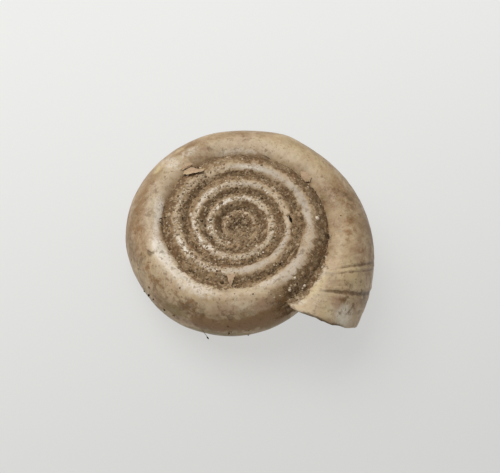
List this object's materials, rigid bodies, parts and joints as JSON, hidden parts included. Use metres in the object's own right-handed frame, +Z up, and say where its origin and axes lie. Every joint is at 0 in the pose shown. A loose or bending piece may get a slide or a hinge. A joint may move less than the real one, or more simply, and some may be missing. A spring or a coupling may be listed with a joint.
{
  "type": "ramshorn snail shell",
  "caption": "Flat-coiled ramshorn snail shell with a sunken apex, deep grooves between its whorls and a thin slanting lip, lying on its base.",
  "frame": {"origin": "middle of the bounding box's base, on the surface that the shell lies on", "axes": "+Z up from that surface, +X towards the side of the mouth, the mouth facing -Y"},
  "size_m": [0.0146, 0.0132, 0.0057],
  "materials": {
    "shell": "worn satin"
  },
  "bodies": {
    "root": {"shell": "shell"}
  },
  "joints": []
}
